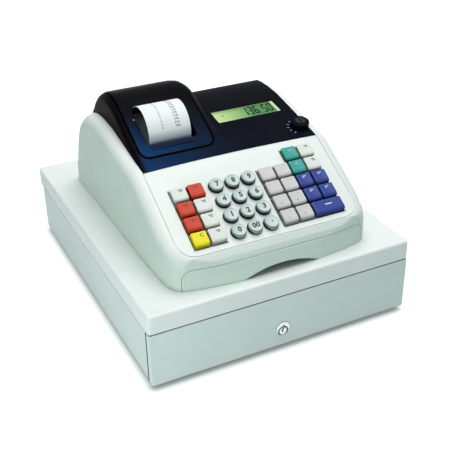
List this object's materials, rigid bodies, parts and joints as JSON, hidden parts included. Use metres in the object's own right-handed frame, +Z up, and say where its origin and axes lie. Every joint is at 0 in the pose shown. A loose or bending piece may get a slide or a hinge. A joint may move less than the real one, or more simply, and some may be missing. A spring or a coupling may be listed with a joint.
{
  "type": "cash register",
  "caption": "Electronic cash register with sloping keyboard, receipt printer under a hinged cover and a flat display, standing on a lockable metal cash drawer.",
  "frame": {"origin": "centre of the bounding box's footprint, on the table under the feet", "axes": "+Z up; -Y towards the operator, the way the drawer opens; +X to the operator's right"},
  "size_m": [0.33, 0.4046, 0.2481],
  "materials": {
    "case_enamel": "semi-gloss enamel",
    "zinc_sheet": "zinc-plated sheet",
    "tray_plastic": "matte",
    "lock_metal": "polished",
    "housing_plastic": "fine texture",
    "base_plastic": "matte",
    "smoked_plastic": "smoked, glossy",
    "display_glass": "gloss",
    "dark_plastic": "satin",
    "paper": "matt thermal paper",
    "roller_rubber": "matte",
    "circuit_board": "lacquered",
    "key_white": "satin",
    "key_grey": "satin",
    "key_red": "satin",
    "key_yellow": "satin",
    "key_green": "satin",
    "key_blue": "satin",
    "key_number": "satin"
  },
  "bodies": {
    "register": {"case_lid": "case_enamel", "drawer_case": "case_enamel", "upper_housing": "housing_plastic", "lower_housing": "base_plastic", "top_cover": "smoked_plastic", "lcd_module": "display_glass", "printer_frame": "base_plastic", "keyboard_board": "circuit_board", "main_board": "circuit_board", "receipt_paper": "paper"},
    "drawer": {"drawer_front": "case_enamel", "drawer_tub": "zinc_sheet", "cash_tray": "tray_plastic"},
    "drawer_key": {"drawer_lock": "lock_metal"},
    "hatch": {"printer_cover": "smoked_plastic"},
    "mode_switch": {"mode_lock": "dark_plastic"},
    "roll": {"paper_roll": "paper"},
    "roller": {"feed_roller": "roller_rubber"},
    "clip_1": {"note_clip_1": "dark_plastic"},
    "clip_2": {"note_clip_2": "dark_plastic"},
    "clip_3": {"note_clip_3": "dark_plastic"},
    "clip_4": {"note_clip_4": "dark_plastic"},
    "body_key_left_0_0": {"key_left_0_0": "key_yellow"},
    "body_key_left_0_1": {"key_left_0_1": "key_white"},
    "body_key_left_1_0": {"key_left_1_0": "key_red"},
    "body_key_left_1_1": {"key_left_1_1": "key_white"},
    "body_key_left_2_0": {"key_left_2_0": "key_red"},
    "body_key_left_2_1": {"key_left_2_1": "key_white"},
    "body_key_left_3_0": {"key_left_3_0": "key_white"},
    "body_key_left_3_1": {"key_left_3_1": "key_red"},
    "body_key_number_0_0": {"key_number_0_0": "key_number"},
    "body_key_number_0_1": {"key_number_0_1": "key_number"},
    "body_key_number_0_2": {"key_number_0_2": "key_number"},
    "body_key_number_1_0": {"key_number_1_0": "key_number"},
    "body_key_number_1_1": {"key_number_1_1": "key_number"},
    "body_key_number_1_2": {"key_number_1_2": "key_number"},
    "body_key_number_2_0": {"key_number_2_0": "key_number"},
    "body_key_number_2_1": {"key_number_2_1": "key_number"},
    "body_key_number_2_2": {"key_number_2_2": "key_number"},
    "body_key_number_3_0": {"key_number_3_0": "key_number"},
    "body_key_number_3_1": {"key_number_3_1": "key_number"},
    "body_key_number_3_2": {"key_number_3_2": "key_number"},
    "body_key_right_0_0": {"key_right_0_0": "key_grey"},
    "body_key_right_0_1": {"key_right_0_1": "key_grey"},
    "body_key_right_0_2": {"key_right_0_2": "key_blue"},
    "body_key_right_1_0": {"key_right_1_0": "key_grey"},
    "body_key_right_1_1": {"key_right_1_1": "key_grey"},
    "body_key_right_1_2": {"key_right_1_2": "key_blue"},
    "body_key_right_1_3": {"key_right_1_3": "key_blue"},
    "body_key_right_2_0": {"key_right_2_0": "key_grey"},
    "body_key_right_2_1": {"key_right_2_1": "key_grey"},
    "body_key_right_2_2": {"key_right_2_2": "key_blue"},
    "body_key_right_2_3": {"key_right_2_3": "key_blue"},
    "body_key_right_3_0": {"key_right_3_0": "key_grey"},
    "body_key_right_3_1": {"key_right_3_1": "key_grey"},
    "body_key_right_3_2": {"key_right_3_2": "key_green"},
    "body_key_right_3_3": {"key_right_3_3": "key_white"},
    "body_key_right_4_2": {"key_right_4_2": "key_green"},
    "body_key_right_4_3": {"key_right_4_3": "key_white"}
  },
  "joints": [
    {"name": "drawer_slide", "type": "slide", "parent": "register", "child": "drawer", "axis": [0, -1, 0], "range_m": [0, 0.27]},
    {"name": "drawer_lock_turn", "type": "hinge", "parent": "drawer", "child": "drawer_key", "pos_m": [-0.0043, -0.20075, 0.0302], "axis": [0, 1, 0], "range_deg": [0, 90]},
    {"name": "printer_cover_hinge", "type": "hinge", "parent": "register", "child": "hatch", "pos_m": [-0.0596, 0.07929, 0.2277], "axis": [-1, 0, 0], "range_deg": [0, 70]},
    {"name": "paper_roll_spin", "type": "hinge", "parent": "register", "child": "roll", "pos_m": [-0.0636, 0.04525, 0.185], "axis": [1, 0, 0], "continuous": true},
    {"name": "feed_roller_spin", "type": "hinge", "parent": "register", "child": "roller", "pos_m": [-0.0636, -0.03315, 0.188], "axis": [1, 0, 0], "continuous": true},
    {"name": "note_clip_lift_1", "type": "hinge", "parent": "drawer", "child": "clip_1", "pos_m": [-0.11482, 0.08195, 0.0559], "axis": [-1, 0, 0], "range_deg": [0, 30], "stiffness_Nm_per_rad": 0.05, "springref_deg": -22.92},
    {"name": "note_clip_lift_2", "type": "hinge", "parent": "drawer", "child": "clip_2", "pos_m": [-0.03828, 0.08195, 0.0559], "axis": [-1, 0, 0], "range_deg": [0, 30], "stiffness_Nm_per_rad": 0.05, "springref_deg": -22.92},
    {"name": "note_clip_lift_3", "type": "hinge", "parent": "drawer", "child": "clip_3", "pos_m": [0.03828, 0.08195, 0.0559], "axis": [-1, 0, 0], "range_deg": [0, 30], "stiffness_Nm_per_rad": 0.05, "springref_deg": -22.92},
    {"name": "note_clip_lift_4", "type": "hinge", "parent": "drawer", "child": "clip_4", "pos_m": [0.11482, 0.08195, 0.0559], "axis": [-1, 0, 0], "range_deg": [0, 30], "stiffness_Nm_per_rad": 0.05, "springref_deg": -22.92},
    {"name": "mode_lock_turn", "type": "hinge", "parent": "register", "child": "mode_switch", "pos_m": [0.1006, -0.05225, 0.19813], "axis": [0, -0.1823, 0.9832], "range_deg": [-60, 120]},
    {"name": "press_key_left_0_0", "type": "slide", "parent": "register", "child": "body_key_left_0_0", "axis": [0, 0.4894, -0.8721], "range_m": [0, 0.003], "stiffness_N_per_m": 200, "springref_m": -0.001},
    {"name": "press_key_left_0_1", "type": "slide", "parent": "register", "child": "body_key_left_0_1", "axis": [0, 0.4894, -0.8721], "range_m": [0, 0.003], "stiffness_N_per_m": 200, "springref_m": -0.001},
    {"name": "press_key_left_1_0", "type": "slide", "parent": "register", "child": "body_key_left_1_0", "axis": [0, 0.4894, -0.8721], "range_m": [0, 0.003], "stiffness_N_per_m": 200, "springref_m": -0.001},
    {"name": "press_key_left_1_1", "type": "slide", "parent": "register", "child": "body_key_left_1_1", "axis": [0, 0.4894, -0.8721], "range_m": [0, 0.003], "stiffness_N_per_m": 200, "springref_m": -0.001},
    {"name": "press_key_left_2_0", "type": "slide", "parent": "register", "child": "body_key_left_2_0", "axis": [0, 0.4894, -0.8721], "range_m": [0, 0.003], "stiffness_N_per_m": 200, "springref_m": -0.001},
    {"name": "press_key_left_2_1", "type": "slide", "parent": "register", "child": "body_key_left_2_1", "axis": [0, 0.4894, -0.8721], "range_m": [0, 0.003], "stiffness_N_per_m": 200, "springref_m": -0.001},
    {"name": "press_key_left_3_0", "type": "slide", "parent": "register", "child": "body_key_left_3_0", "axis": [0, 0.4894, -0.8721], "range_m": [0, 0.003], "stiffness_N_per_m": 200, "springref_m": -0.001},
    {"name": "press_key_left_3_1", "type": "slide", "parent": "register", "child": "body_key_left_3_1", "axis": [0, 0.4894, -0.8721], "range_m": [0, 0.003], "stiffness_N_per_m": 200, "springref_m": -0.001},
    {"name": "press_key_number_0_0", "type": "slide", "parent": "register", "child": "body_key_number_0_0", "axis": [0, 0.4894, -0.8721], "range_m": [0, 0.003], "stiffness_N_per_m": 200, "springref_m": -0.001},
    {"name": "press_key_number_0_1", "type": "slide", "parent": "register", "child": "body_key_number_0_1", "axis": [0, 0.4894, -0.8721], "range_m": [0, 0.003], "stiffness_N_per_m": 200, "springref_m": -0.001},
    {"name": "press_key_number_0_2", "type": "slide", "parent": "register", "child": "body_key_number_0_2", "axis": [0, 0.4894, -0.8721], "range_m": [0, 0.003], "stiffness_N_per_m": 200, "springref_m": -0.001},
    {"name": "press_key_number_1_0", "type": "slide", "parent": "register", "child": "body_key_number_1_0", "axis": [0, 0.4894, -0.8721], "range_m": [0, 0.003], "stiffness_N_per_m": 200, "springref_m": -0.001},
    {"name": "press_key_number_1_1", "type": "slide", "parent": "register", "child": "body_key_number_1_1", "axis": [0, 0.4894, -0.8721], "range_m": [0, 0.003], "stiffness_N_per_m": 200, "springref_m": -0.001},
    {"name": "press_key_number_1_2", "type": "slide", "parent": "register", "child": "body_key_number_1_2", "axis": [0, 0.4894, -0.8721], "range_m": [0, 0.003], "stiffness_N_per_m": 200, "springref_m": -0.001},
    {"name": "press_key_number_2_0", "type": "slide", "parent": "register", "child": "body_key_number_2_0", "axis": [0, 0.4894, -0.8721], "range_m": [0, 0.003], "stiffness_N_per_m": 200, "springref_m": -0.001},
    {"name": "press_key_number_2_1", "type": "slide", "parent": "register", "child": "body_key_number_2_1", "axis": [0, 0.4894, -0.8721], "range_m": [0, 0.003], "stiffness_N_per_m": 200, "springref_m": -0.001},
    {"name": "press_key_number_2_2", "type": "slide", "parent": "register", "child": "body_key_number_2_2", "axis": [0, 0.4894, -0.8721], "range_m": [0, 0.003], "stiffness_N_per_m": 200, "springref_m": -0.001},
    {"name": "press_key_number_3_0", "type": "slide", "parent": "register", "child": "body_key_number_3_0", "axis": [0, 0.4894, -0.8721], "range_m": [0, 0.003], "stiffness_N_per_m": 200, "springref_m": -0.001},
    {"name": "press_key_number_3_1", "type": "slide", "parent": "register", "child": "body_key_number_3_1", "axis": [0, 0.4894, -0.8721], "range_m": [0, 0.003], "stiffness_N_per_m": 200, "springref_m": -0.001},
    {"name": "press_key_number_3_2", "type": "slide", "parent": "register", "child": "body_key_number_3_2", "axis": [0, 0.4894, -0.8721], "range_m": [0, 0.003], "stiffness_N_per_m": 200, "springref_m": -0.001},
    {"name": "press_key_right_0_0", "type": "slide", "parent": "register", "child": "body_key_right_0_0", "axis": [0, 0.4894, -0.8721], "range_m": [0, 0.003], "stiffness_N_per_m": 200, "springref_m": -0.001},
    {"name": "press_key_right_0_1", "type": "slide", "parent": "register", "child": "body_key_right_0_1", "axis": [0, 0.4894, -0.8721], "range_m": [0, 0.003], "stiffness_N_per_m": 200, "springref_m": -0.001},
    {"name": "press_key_right_0_2", "type": "slide", "parent": "register", "child": "body_key_right_0_2", "axis": [0, 0.4894, -0.8721], "range_m": [0, 0.003], "stiffness_N_per_m": 200, "springref_m": -0.001},
    {"name": "press_key_right_1_0", "type": "slide", "parent": "register", "child": "body_key_right_1_0", "axis": [0, 0.4894, -0.8721], "range_m": [0, 0.003], "stiffness_N_per_m": 200, "springref_m": -0.001},
    {"name": "press_key_right_1_1", "type": "slide", "parent": "register", "child": "body_key_right_1_1", "axis": [0, 0.4894, -0.8721], "range_m": [0, 0.003], "stiffness_N_per_m": 200, "springref_m": -0.001},
    {"name": "press_key_right_1_2", "type": "slide", "parent": "register", "child": "body_key_right_1_2", "axis": [0, 0.4894, -0.8721], "range_m": [0, 0.003], "stiffness_N_per_m": 200, "springref_m": -0.001},
    {"name": "press_key_right_1_3", "type": "slide", "parent": "register", "child": "body_key_right_1_3", "axis": [0, 0.4894, -0.8721], "range_m": [0, 0.003], "stiffness_N_per_m": 200, "springref_m": -0.001},
    {"name": "press_key_right_2_0", "type": "slide", "parent": "register", "child": "body_key_right_2_0", "axis": [0, 0.4894, -0.8721], "range_m": [0, 0.003], "stiffness_N_per_m": 200, "springref_m": -0.001},
    {"name": "press_key_right_2_1", "type": "slide", "parent": "register", "child": "body_key_right_2_1", "axis": [0, 0.4894, -0.8721], "range_m": [0, 0.003], "stiffness_N_per_m": 200, "springref_m": -0.001},
    {"name": "press_key_right_2_2", "type": "slide", "parent": "register", "child": "body_key_right_2_2", "axis": [0, 0.4894, -0.8721], "range_m": [0, 0.003], "stiffness_N_per_m": 200, "springref_m": -0.001},
    {"name": "press_key_right_2_3", "type": "slide", "parent": "register", "child": "body_key_right_2_3", "axis": [0, 0.4894, -0.8721], "range_m": [0, 0.003], "stiffness_N_per_m": 200, "springref_m": -0.001},
    {"name": "press_key_right_3_0", "type": "slide", "parent": "register", "child": "body_key_right_3_0", "axis": [0, 0.4894, -0.8721], "range_m": [0, 0.003], "stiffness_N_per_m": 200, "springref_m": -0.001},
    {"name": "press_key_right_3_1", "type": "slide", "parent": "register", "child": "body_key_right_3_1", "axis": [0, 0.4894, -0.8721], "range_m": [0, 0.003], "stiffness_N_per_m": 200, "springref_m": -0.001},
    {"name": "press_key_right_3_2", "type": "slide", "parent": "register", "child": "body_key_right_3_2", "axis": [0, 0.4894, -0.8721], "range_m": [0, 0.003], "stiffness_N_per_m": 200, "springref_m": -0.001},
    {"name": "press_key_right_3_3", "type": "slide", "parent": "register", "child": "body_key_right_3_3", "axis": [0, 0.4894, -0.8721], "range_m": [0, 0.003], "stiffness_N_per_m": 200, "springref_m": -0.001},
    {"name": "press_key_right_4_2", "type": "slide", "parent": "register", "child": "body_key_right_4_2", "axis": [0, 0.4894, -0.8721], "range_m": [0, 0.003], "stiffness_N_per_m": 200, "springref_m": -0.001},
    {"name": "press_key_right_4_3", "type": "slide", "parent": "register", "child": "body_key_right_4_3", "axis": [0, 0.4894, -0.8721], "range_m": [0, 0.003], "stiffness_N_per_m": 200, "springref_m": -0.001}
  ],
  "couplings": [
    {"joint": "feed_roller_spin", "follows": "paper_roll_spin", "ratio": 4.8571}
  ]
}
